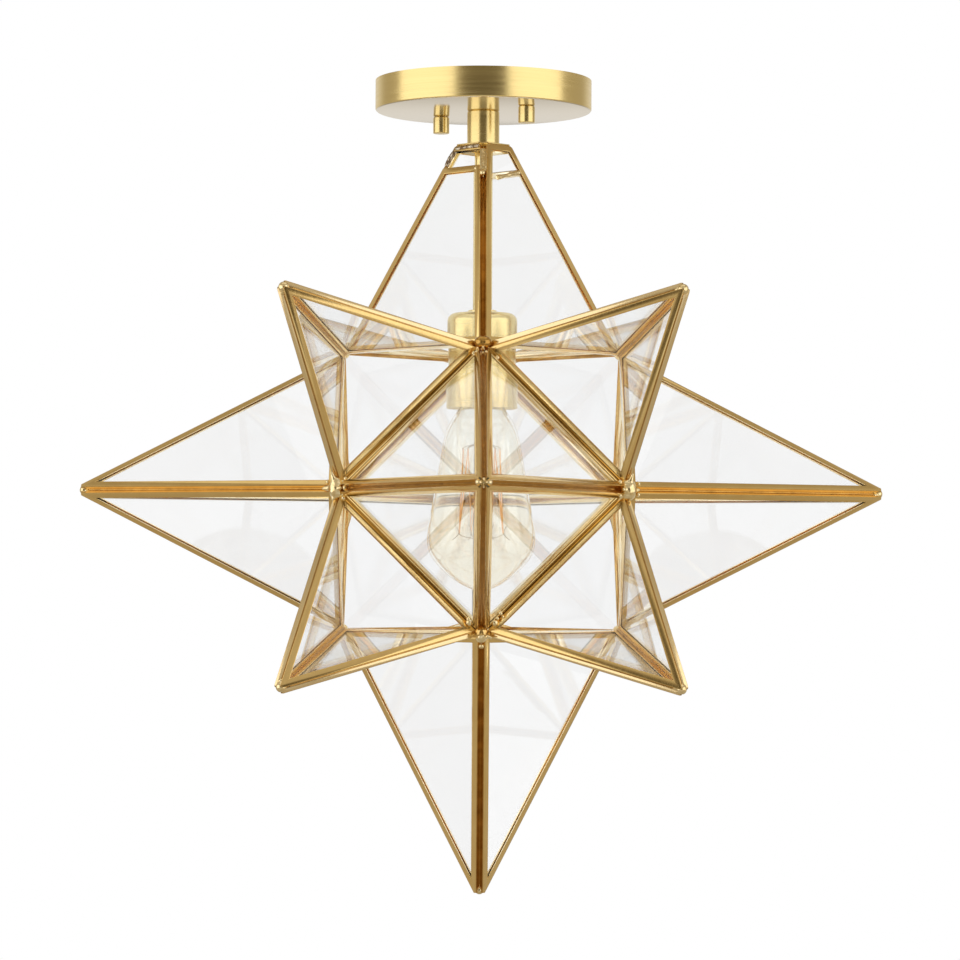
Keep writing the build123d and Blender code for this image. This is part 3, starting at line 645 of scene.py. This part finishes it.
# Corner, in halves of the core: its ball in millimetres and how that is drawn out, how long and thick its
# arms are, and its beads, by their place across and up from the corner and their radius
knots = {
    (0, -1, 1): (
        3.9, (1.1, 1.0, 0.85), 5.0, 2.2,
        ((-3.6, -4.6, 0.9), (-0.2, -5.6, 1.0), (2.2, -4.9, 0.8), (-5.4, -5.6, 1.2), (8.4, -8.2, 1.4)),
    ),
    (0, -1, -1): (
        4.3, (0.85, 1.0, 1.15), 6.0, 2.6,
        (
            (-7.0, 7.2, 2.0), (-8.0, 8.6, 1.3), (7.6, 7.0, 2.0),
            (9.4, 9.4, 1.0), (11.6, 12.2, 1.2), (12.9, 10.2, 1.0),
        ),
    ),
    (-1, -1, 0): (
        5.2, (0.85, 0.9, 1.45), 9.5, 3.5,
        ((4.4, 6.0, 1.3), (3.4, -6.0, 1.4), (-6.2, 3.6, 1.3), (4.8, 0.6, 1.6)),
    ),
    (1, -1, 0): (
        5.2, (1.0, 0.9, 1.35), 9.0, 3.5,
        ((7.4, 3.4, 1.3), (7.2, -2.6, 1.3), (1.0, -5.2, 1.8), (-4.4, 4.2, 1.4), (-4.2, -3.4, 1.0)),
    ),
}


def corner_knots():
    lumps, beads = [], []
    forward, arm_lift, arm_end = 1.4 * MM, 1.2 * MM, 0.8 * MM
    for corner in core_corners:
        opens = corner.z < door_top
        place = tuple(round(part) for part in (corner - centre) / core_half)
        ball, drawn, arm, thick, dabs = knots.get(place, (3.9, (1, 1, 1), 7.5, 2.7, ()))
        edges = next_corners(corner)
        outwards = (corner - centre).normalized()
        lumps.append(blob(corner + outwards * (forward if place in knots else 0), ball * MM, drawn))
        for index, point in enumerate(points_over(corner) + edges):
            if opens and (point in door_points or (point.z < door_top and point in edges)):
                continue
            along = (point - corner).normalized()
            lift = (outwards - along * outwards.dot(along)) * arm_lift
            length = (arm + 2.2 * sin(index * 2.4 + corner.x * 40 + corner.z * 25)) * MM
            lumps.append(run_of_solder(corner + lift, along, length, thick * MM, arm_end))
        for across, up, radius in dabs:
            beads.append(dab(corner.x / MM + across, (corner.z - centre.z) / MM + up, radius, (1, 1, 1.15)))
    piece = melted("corner_solder_knots", lumps, 0.5 * MM, 0.7 * MM, 4 * MM)
    piece = joined("corner_solder_knots", [piece, *beads])
    only(piece)
    bpy.ops.object.shade_smooth()
    hand_over(piece, "solder", "fixture", "corner_solder")


def outward(corner, other, point):
    """The way that the pane between two corners of the core and a point faces."""
    normal = (other - corner).cross(point - corner).normalized()
    axis = (point - centre).normalized()
    out = (corner + other + point) / 3 - centre
    return normal if normal.dot(out - axis * out.dot(axis)) > 0 else -normal


def seams():
    """Solder down in the groove of each ridge, and in the valley between two spikes, where channels meet. It
    takes the channels' look with its painted shade in brown, lighter on the lump at the lower front corner.
    """
    half_thick = 1.65 * MM                # pane's middle to the outside of its channel
    from_corner = 2 * MM
    runs = {"fixture": [], "opening_spike": []}

    def seam(start, end, normals, body, short_of_end, convex):
        between_them = (normals[0] + normals[1]).normalized()
        shift = between_them * (half_thick / normals[0].dot(between_them))
        along = (end - start).normalized()
        start = start + (-shift if convex else shift * 0.8) + along * from_corner
        length = (end - start).length - short_of_end
        bpy.ops.mesh.primitive_cylinder_add(
            vertices=6, radius=(0.5 if convex else 0.4) * MM, depth=length,
            location=start + along * (length / 2), rotation=along.to_track_quat("Z", "Y").to_euler(),
        )
        runs[body].append(bpy.context.object)

    def below(place):
        """Whether a place is on the lump at the lower front corner, which takes less painted shade."""
        return (place - centre - Vector((0, -core_half, -core_half))).length < 7 * MM

    for corner, point in ridges:
        reach = (point - corner).length
        sides = [other for other in next_corners(corner) if abs((other - point).length - reach) < MM]
        body = "opening_spike" if point in door_points else "fixture"
        short_of_point = 62 * MM if point in top_points else 12 * MM
        normals = [outward(corner, other, point) for other in sides]
        seam(corner, point, normals, body, short_of_point, True)
    for start, end in core_edges:
        points = [
            point for one, point in ridges
            if one is start and any(corner is end and other is point for corner, other in ridges)
        ]
        if door_points[0] not in points:
            normals = [outward(start, end, point) for point in points]
            seam(start, end, normals, "fixture", 4 * MM, False)
    # A lump on the upper front corner, dark with painted shade, and a rounded one on the lower, with less of
    # it
    for height, size in (
        (core_half + 1.6 * MM, (1.25, 0.95, 0.95)),
        (-core_half + 0.6 * MM, (0.95, 0.9, 1.1)),
    ):
        lump = blob(centre + Vector((0, -core_half - 1.6 * MM, height)), 4.3 * MM, size)
        runs["fixture"].append(lump)
    for body, name in (("fixture", "groove_solder"), ("opening_spike", "door_groove_solder")):
        piece = joined(name, runs[body])
        # Painted shade: full on the seams and the upper front lump, 0.45 on the lower front lump.
        shade = piece.data.attributes.new("painted_groove_shade", "FLOAT", "FACE")
        shade.data.foreach_set("value", [0.45 if below(face.center) else 1.0 for face in piece.data.polygons])
        hand_over(piece, "solder", body, look="channel_brass")


def run_between(first, second, thick, thin=None):
    """A run of solder between two places, in millimetres from the star's centre."""
    start, end = (centre + Vector(place) * MM for place in (first, second))
    gap = end - start
    return run_of_solder(start, gap.normalized(), gap.length, thick * MM, (thin or thick) * MM)


def plate_solder():
    """Solder round the top plate: the front groove filled up to the plate, the right sill smeared, and the
    dull streaks on its left corner."""
    fill = [
        run_between((0, -26.8, 200.0), (0, -18.9, 214.8), 2.4),
        blob(centre + Vector((-0.6, -28.6, 199.4)) * MM, 1.9 * MM),
        blob(centre + Vector((-4.3, -22.9, 202.6)) * MM, 1.8 * MM),
        run_between((8.4, -22.9, 196.8), (14.8, -15.3, 199.2), 1.7, 1.3),
        run_between((14.8, -15.3, 199.2), (22.4, -6.0, 202.0), 1.3, 1.9),
    ]
    hand_over(melted("plate_solder_runs", fill, 0.4 * MM, 0.5 * MM, 3 * MM), "solder", "fixture")
    dull = [
        run_between((-23.6, -0.8, 206.4), (-20.4, -0.8, 212.2), 1.2, 1.7),
        run_between((-20.4, -0.8, 212.2), (-17.2, -2.6, 216.4), 1.7, 1.5),
        run_between((-17.0, -3.4, 217.0), (-9.4, -10.8, 217.6), 1.5, 1.2),
        run_between((-9.4, -10.8, 217.6), (-2.6, -17.4, 217.4), 1.2, 1.7),
    ]
    piece = melted("plate_solder_streaks", dull, 0.4 * MM, 0.9 * MM, 2.5 * MM)
    hand_over(piece, "solder", "fixture", look="tarnished")


def tip_beads():
    """Caps of solder over the cut points of the spikes, each with a bead or two run down its ridges."""
    for name, points, body, node in (
        ("tip_solder_caps", long_points + short_points, "fixture", "tip_solder"),
        ("door_solder_beads", door_points, "opening_spike", "door_solder"),
    ):
        lumps = []
        for point in points:
            back = (centre - point).normalized()
            long_one = point not in short_points
            foot = point + back * (tip_cut + (1.9 if long_one else 1.6) * MM)
            side = back.orthogonal().normalized()
            facing = long_one and abs(point.x) < MM and point.y < 0
            lumps.append(blob(foot + back * (1.6 * MM if facing else 0), (3.1 if long_one else 3.3) * MM))
            for turn in (0.4, 2.9):
                about = Matrix.Rotation(turn, 3, back) @ side
                if facing:
                    about = Vector((1 if turn > 1 else -1, 0, 0.12))
                behind, reach, thick = (0.3, 2.7, 2.2) if facing else (2.4, 2.6, 1.8)
                lumps.append(blob(foot + back * behind * MM + about * reach * MM, thick * MM))
        if body == "opening_spike":
            for corner in core_corners:
                if corner.z < door_top:
                    along = (door_points[0] - corner).normalized()
                    flat = Vector((corner.x - centre.x, corner.y - centre.y, 0)).normalized()
                    out = (flat - along * flat.dot(along)).normalized()
                    lumps.append(blob(corner + along * 9 * MM - out * 0.6 * MM, 2.0 * MM))
        piece = melted(name, lumps, 0.4 * MM, 0.35 * MM, 3 * MM)
        hand_over(piece, "solder", body, node)


# Turned brass

stem_hole = 5.6 * MM                     # in what the stem passes through


def smooth_turned(piece, angle=35):
    """Shades a turned piece smooth but for its edges."""
    only(piece)
    bpy.ops.object.shade_smooth_by_angle(angle=radians(angle))


def canopy():
    rim, floor = high("canopy").x, low("canopy").z
    wall, hole, edge = 1.0 * MM, stem_hole, 1.3 * MM
    outside = [(hole, floor)] + arc((rim - edge, floor + edge), edge, -90, 0, 6) + [(rim, 0)]
    inside = [(rim - wall, 0)] + arc((rim - edge, floor + edge), edge - wall, 0, -90, 3)
    inside += [(hole, floor + wall)]
    piece = turned("canopy_dish", outside + inside, steps=160, closed=True)
    smooth_turned(piece, 40)
    hand_over(piece, "satin_brass", "fixture", "canopy", look="canopy")


def thumb_nuts():
    """Canopy nuts: plain cylinders with a rounded end and a broken edge at the canopy."""
    for node, body in (("rear_canopy_knob", "rear_knob"), ("front_canopy_knob", "front_knob")):
        box_low, box_high = low(node), high(node)
        middle = (box_low + box_high) / 2
        radius, bore, pinhole = (box_high.x - box_low.x) / 2, 2.05 * MM, 0.2 * MM
        top, bottom = box_high.z, box_low.z
        edge, top_edge, end_wall = 0.55 * MM, 0.6 * MM, 3.4 * MM
        profile = (
            [(bore, top), (radius - top_edge, top), (radius, top - top_edge)]
            + arc((radius - edge, bottom + edge), edge, 0, -90, 5)
            + [(pinhole, bottom), (pinhole, bottom + end_wall), (bore, bottom + end_wall)]
        )
        piece = turned(f"{body}_thumb_nut", profile, steps=64, closed=True)
        piece.location = (middle.x, middle.y, 0)
        smooth_turned(settle(piece))
        hand_over(piece, "satin_brass", body, node)


def collar_and_stem():
    bore, edge, top_edge = stem_hole, 0.4 * MM, 0.7 * MM
    radius, top, bottom = high("collar").x, high("collar").z, low("collar").z
    profile = [
        (bore, top), (radius - top_edge, top), (radius, top - top_edge),
        (radius, bottom + edge), (radius - edge, bottom), (bore, bottom),
    ]
    piece = turned("collar_sleeve", profile, steps=96, closed=True)
    smooth_turned(piece)
    hand_over(piece, "satin_brass", "fixture", "collar")

    radius, top, bottom = high("stem_pipe").x, high("stem_pipe").z, low("stem_pipe").z
    hollow = 3.6 * MM
    piece = turned("stem_tube", [(radius, top), (radius, bottom), (hollow, bottom), (hollow, top)], 72, True)
    soften(piece, 0.25 * MM)
    hand_over(piece, "satin_brass", "fixture", "stem_pipe")


def socket_cup():
    radius, top, mouth = high("socket_cup").x, high("socket_cup").z, low("socket_cup").z
    wall, shoulder, hole, lip = 1.0 * MM, 5.5 * MM, stem_hole, 0.45 * MM
    outside = arc((radius - lip, mouth + lip), lip, -90, 0, 4)
    outside += arc((radius - shoulder, top - shoulder), shoulder, 0, 90, 12) + [(hole, top)]
    inner = shoulder - wall
    inside = [(hole, top - wall)] + arc((radius - shoulder, top - shoulder), inner, 90, 0, 10)
    inside += [(radius - wall, mouth + lip), (radius - wall + lip / 2, mouth)]
    piece = turned("socket_cup_shell", outside + inside, steps=128, closed=True)
    smooth_turned(piece)
    hand_over(piece, "satin_brass", "fixture", "socket_cup", look="cup")

    radius, top, bottom = high("cup_cap").x, high("cup_cap").z, low("cup_cap").z
    edge, hole = 0.8 * MM, 5.45 * MM
    profile = [(hole, bottom), (radius, bottom)] + arc((radius - edge, top - edge), edge, 0, 90, 5)
    profile += [(hole, top)]
    piece = turned("cup_top_cap", profile, steps=72, closed=True)
    smooth_turned(piece)
    hand_over(piece, "satin_brass", "fixture", "cup_cap")


# Bulb

bulb_radius = high("bulb_glass").x
bulb_bottom = low("bulb_glass").z
bulb_neck_top = high("bulb_glass").z
bulb_mouth = low("bulb_cap").z


def bulb_side(inset):
    """Points of the bulb's side from its blunt point to its neck, this far inside its surface."""
    widest = bulb_bottom + bulb_radius
    taper, end_turn, end_radius, bend = 10.5, 42, 24 * MM, 55 * MM
    end_middle = (bulb_radius - end_radius, widest)
    curve = arc(end_middle, end_radius - inset, -end_turn, 0, 10)
    start = curve[0]
    point_height = bulb_bottom + inset
    # Blunt end: a shallow dome from the axis out to where the round side starts
    dome = []
    steps = 12
    for step in range(steps):
        share = step / steps
        radius = start[0] * share
        rise = (start[1] - point_height) * (0.42 * share + 0.58 * share**2.3)
        dome.append((radius, point_height + rise))
    upper = arc((bulb_radius - bend, widest), bend - inset, 0, taper, 6)[1:]
    last = upper[-1]
    length = 50 * MM
    line = [
        (last[0] - sin(radians(taper)) * length * step / 6, last[1] + cos(radians(taper)) * length * step / 6)
        for step in range(1, 7)
    ]
    last = line[-1]
    shoulder_radius, turn = 45 * MM - inset, 25
    middle = (
        last[0] - shoulder_radius * cos(radians(taper)), last[1] - shoulder_radius * sin(radians(taper)),
    )
    shoulder = arc(middle, shoulder_radius, taper, taper + turn, 8)[1:]
    last = shoulder[-1]
    neck = 12.2 * MM - inset
    neck_start = (neck, bulb_mouth - 0.8 * MM)
    lean = radians(taper + turn)
    knee = (last[0] - sin(lean) * 4.2 * MM, last[1] + cos(lean) * 4.2 * MM)
    bends = []
    for step in range(1, 6):
        share = step / 6
        one = (1 - share) ** 2
        two = 2 * share * (1 - share)
        bends.append(
            (
                one * last[0] + two * knee[0] + share**2 * neck_start[0],
                one * last[1] + two * knee[1] + share**2 * neck_start[1],
            )
        )
    return dome + curve + upper + line + shoulder + bends + [neck_start, (neck, bulb_neck_top)]


def bulb():
    outside = bulb_side(0)
    inside = bulb_side(1.1 * MM)
    piece = turned("bulb_envelope", outside + inside[::-1], steps=96, closed=True)
    smooth_turned(piece, 50)
    hand_over(piece, "amber_glass", "bulb", "bulb_glass")

    top, bottom = high("bulb_stem").z, low("bulb_stem").z
    upper_hooks, lower_hooks = centre.z + 26 * MM, centre.z - 25 * MM
    profile = [
        (0, top), (11.0 * MM, top), (11.3 * MM, top - 0.8 * MM), (8.0 * MM, top - 6 * MM),
        (4.6 * MM, top - 13 * MM), (3.4 * MM, top - 19 * MM), (3.1 * MM, upper_hooks + 8 * MM),
        (3.3 * MM, upper_hooks + 5 * MM), (2.4 * MM, upper_hooks + 3 * MM),
        (1.6 * MM, upper_hooks + 1.6 * MM), (1.5 * MM, bottom + 4 * MM),
        (2.3 * MM, bottom + 2.4 * MM), (1.6 * MM, bottom + 0.4 * MM), (0, bottom),
    ]
    piece = turned("bulb_stem_press", profile, steps=48)
    modify(piece, "SUBSURF", levels=1, render_levels=1)
    only(piece)
    bpy.ops.object.shade_smooth()
    hand_over(piece, "stem_glass", "bulb", "bulb_stem")

    strands, upper_circle, lower_circle = 16, 10.5 * MM, 14 * MM
    hooks = []
    for index in range(strands):
        turn = 2 * pi * index / strands
        circle, height = (upper_circle, upper_hooks) if index % 2 == 0 else (lower_circle, lower_hooks)
        hooks.append(Vector((circle * cos(turn), circle * sin(turn), height)))
    hand_over(wire("filament_strand", hooks, 0.45 * MM), "filament_wire", "bulb", "filament", look="strand")

    supports = []
    for index, hook in enumerate(hooks):
        flat = Vector((hook.x, hook.y, 0)).normalized()
        upper = index % 2 == 0
        root = Vector((0, 0, hook.z + (3.5 if upper else -3.5) * MM)) + flat * 1.4 * MM
        knee = Vector((hook.x, hook.y, 0)) * 0.6 + UP * (hook.z + (2.6 if upper else -3.2) * MM)
        end = hook + UP * (0.9 if upper else -0.9) * MM + flat * 0.3 * MM
        curl = hook + flat * 0.9 * MM
        supports.append(wire(f"support_{index}", [root, knee, end, curl], 0.22 * MM, smooth=True))
        if not upper:
            for rise, out in ((5.0, 3.2), (-4.2, 4.6)):
                tail = [hook, hook + flat * (0.4 * out * MM) + UP * (0.7 * rise * MM)]
                tail.append(hook + flat * (out * MM) + UP * (rise * MM))
                supports.append(wire(f"tail_{index}_{rise}", tail, 0.18 * MM, smooth=True))
    hand_over(joined("filament_spiders", supports), "filament_wire", "bulb", "filament_supports")


# Small metal pieces that keep the frame's shape, with their edges broken

def softened_nodes():
    for node, name, width in (
        ("top_plate", "star_top_plate", 0.3 * MM),
        ("mounting_plate", "ceiling_plate", 0.2 * MM),
        ("hinge_shell_tubes", "hinge_tubes_fixed", 0.12 * MM),
        ("hinge_door_tube", "hinge_tube_moving", 0.12 * MM),
        ("catch_blade", "catch_blade_plate", 0.12 * MM),
        ("catch_clip", "catch_spring_clip", 0.1 * MM),
    ):
        body = "opening_spike" if node in ("hinge_door_tube", "catch_blade") else "fixture"
        piece = soften(merged_copy(node, name), width)
        hand_over(piece, slot_of[node], body, node)


def dress_frame():
    """Finishes for the frame's own nodes, by their slots."""
    for node, thing in frame["nodes"].items():
        thing.data.materials.clear()
        thing.data.materials.append(finishes[slot_of[node]])
        only(thing)
        if slot_of[node] != "clear_glass":
            bpy.ops.object.shade_smooth_by_angle(angle=radians(30))


# Studio

def studio():
    floor_drop, floor_size = 2.4, 12.0
    bpy.ops.mesh.primitive_plane_add(size=floor_size, location=(0, 0, -floor_drop))
    floor = named("studio_floor")
    settle(floor)
    material, tree, shader = finish("floor_paint")
    shader.inputs["Base Color"].default_value = (0.82, 0.82, 0.81, 1)
    shader.inputs["Roughness"].default_value = 0.9
    # Pale to the eye, also through glass, without more light on the star
    path = put(tree, "LightPath")
    seen = put(tree, "Math", operation="MAXIMUM")
    tree.links.new(path.outputs["Is Camera Ray"], seen.inputs[0])
    tree.links.new(path.outputs["Is Transmission Ray"], seen.inputs[1])
    own_light = 0.5
    paleness = put(tree, "Math", {1: own_light}, operation="MULTIPLY")
    tree.links.new(seen.outputs["Value"], paleness.inputs[0])
    shader.inputs["Emission Color"].default_value = (1, 1, 1, 1)
    tree.links.new(paleness.outputs["Value"], shader.inputs["Emission Strength"])
    floor.data.materials.append(material)
    floor.visible_glossy = False

    world = bpy.data.worlds.new("studio_air")
    world.use_nodes = True
    bpy.context.scene.world = world
    tree = world.node_tree
    backdrop = tree.nodes["Background"]
    backdrop.inputs["Color"].default_value = (1, 1, 1, 1)
    backdrop.inputs["Strength"].default_value = 1.0
    # The room as polished metal and glass see it: dim and warm in front at eye level, brighter above and
    # below that, softboxes at the sides, pale behind. Each band runs from straight down to straight up.
    direction = put(tree, "SeparateXYZ")
    tree.links.new(put(tree, "TexCoord").outputs["Generated"], direction.inputs["Vector"])
    height = put(tree, "MapRange", {"From Min": -1.0, "From Max": 1.0})
    tree.links.new(direction.outputs["Z"], height.inputs["Value"])

    def band(*stops):
        ramp = put(tree, "ValToRGB")
        marks = ramp.color_ramp.elements
        while len(marks) < len(stops):
            marks.new(0.5)
        for mark, (place, light) in zip(marks, stops):
            mark.position = (place + 1) / 2
            dim = 1 - light
            mark.color = (light, light * (1 - 0.22 * dim), light * (1 - 0.58 * dim), 1)
        tree.links.new(height.outputs["Result"], ramp.inputs["Fac"])
        return ramp.outputs["Color"]

    def towards_back(start, end):
        span = put(tree, "MapRange", {"From Min": start, "From Max": end}, interpolation_type="SMOOTHSTEP")
        tree.links.new(direction.outputs["Y"], span.inputs["Value"])
        return span.outputs["Result"]

    front = band(
        (-1, 0.42), (-0.6, 0.6), (-0.36, 0.95), (-0.18, 0.2),
        (0.0, 0.07), (0.2, 0.2), (0.42, 0.62), (0.8, 0.42),
    )
    side = band((-1, 0.42), (-0.5, 0.5), (-0.2, 0.45), (0.2, 0.45), (0.5, 0.6), (0.8, 0.42))
    back = band((-1, 0.4), (-0.5, 0.25), (-0.15, 0.78), (0.15, 0.78), (0.5, 0.25), (0.8, 0.42))
    ahead = blend_colours(tree, towards_back(-0.96, -0.82), front, side)
    shade = blend_colours(tree, towards_back(0.6, 0.9), ahead, back)
    room = put(tree, "Background", {"Strength": 1.0})
    tree.links.new(shade, room.inputs["Color"])
    fill_light = 0.5
    soft = put(tree, "Background", {"Color": (1, 1, 1, 1), "Strength": fill_light})
    path = put(tree, "LightPath")
    direct = put(tree, "Math", operation="MAXIMUM")
    tree.links.new(path.outputs["Is Camera Ray"], direct.inputs[0])
    tree.links.new(path.outputs["Is Transmission Ray"], direct.inputs[1])
    first = put(tree, "MixShader")
    tree.links.new(path.outputs["Is Glossy Ray"], first.inputs["Fac"])
    tree.links.new(soft.outputs["Background"], first.inputs[1])
    tree.links.new(room.outputs["Background"], first.inputs[2])
    second = put(tree, "MixShader")
    tree.links.new(direct.outputs["Value"], second.inputs["Fac"])
    tree.links.new(first.outputs["Shader"], second.inputs[1])
    tree.links.new(backdrop.outputs["Background"], second.inputs[2])
    tree.links.new(second.outputs["Shader"], tree.nodes["World Output"].inputs["Surface"])

    for name, place, power, width, height in (
        ("left_softbox", (-1.85, -0.90, -0.1), 15, 2.8, 1.8),
        ("right_softbox", (1.73, -1.12, -0.1), 14, 2.6, 1.8),
        ("overhead_softbox", (0.0, -0.3, 2.2), 10, 3.0, 2.4),
    ):
        lamp = bpy.data.lights.new(name, "AREA")
        lamp.shape = "RECTANGLE"
        lamp.size, lamp.size_y, lamp.energy = width, height, power
        thing = bpy.data.objects.new(name, lamp)
        bpy.context.collection.objects.link(thing)
        thing.location = place
        thing.rotation_euler = (centre - Vector(place)).to_track_quat("-Z", "Y").to_euler()

    light_paths = bpy.context.scene.cycles
    light_paths.max_bounces = light_paths.transmission_bounces = 32
    light_paths.glossy_bounces = 8
    light_paths.transparent_max_bounces = 32
    bpy.context.scene.view_settings.view_transform = "Standard"


def camera():
    """The photograph's view: level with the star, nearly square to its front spike."""
    distance, lens = 2.1564, 127.76
    roll, tilt, turn = 0.0054, -0.0212, 0.0055
    to_camera = Matrix.Rotation(roll, 3, "Z") @ Matrix.Rotation(tilt, 3, "X") @ Matrix.Rotation(turn, 3, "Y")
    back = to_camera.transposed()
    right, ahead, upward = back @ Vector((1, 0, 0)), back @ Vector((0, 1, 0)), back @ UP
    view = bpy.data.cameras.new("view")
    view.lens, view.sensor_width = lens, 36
    photo_width, across, down = 960, -1.38, 12.05       # pixels
    view.shift_x, view.shift_y = across / photo_width, down / photo_width
    thing = bpy.data.objects.new("view", view)
    bpy.context.collection.objects.link(thing)
    turn_matrix = Matrix((right, upward, -ahead)).transposed()
    thing.matrix_world = Matrix.Translation(centre - ahead * distance) @ turn_matrix.to_4x4()
    bpy.context.scene.camera = thing


camera()
studio()
dress_frame()
folded_channels()
corner_knots()
plate_solder()
seams()
tip_beads()
canopy()
thumb_nuts()
collar_and_stem()
socket_cup()
bulb()
softened_nodes()
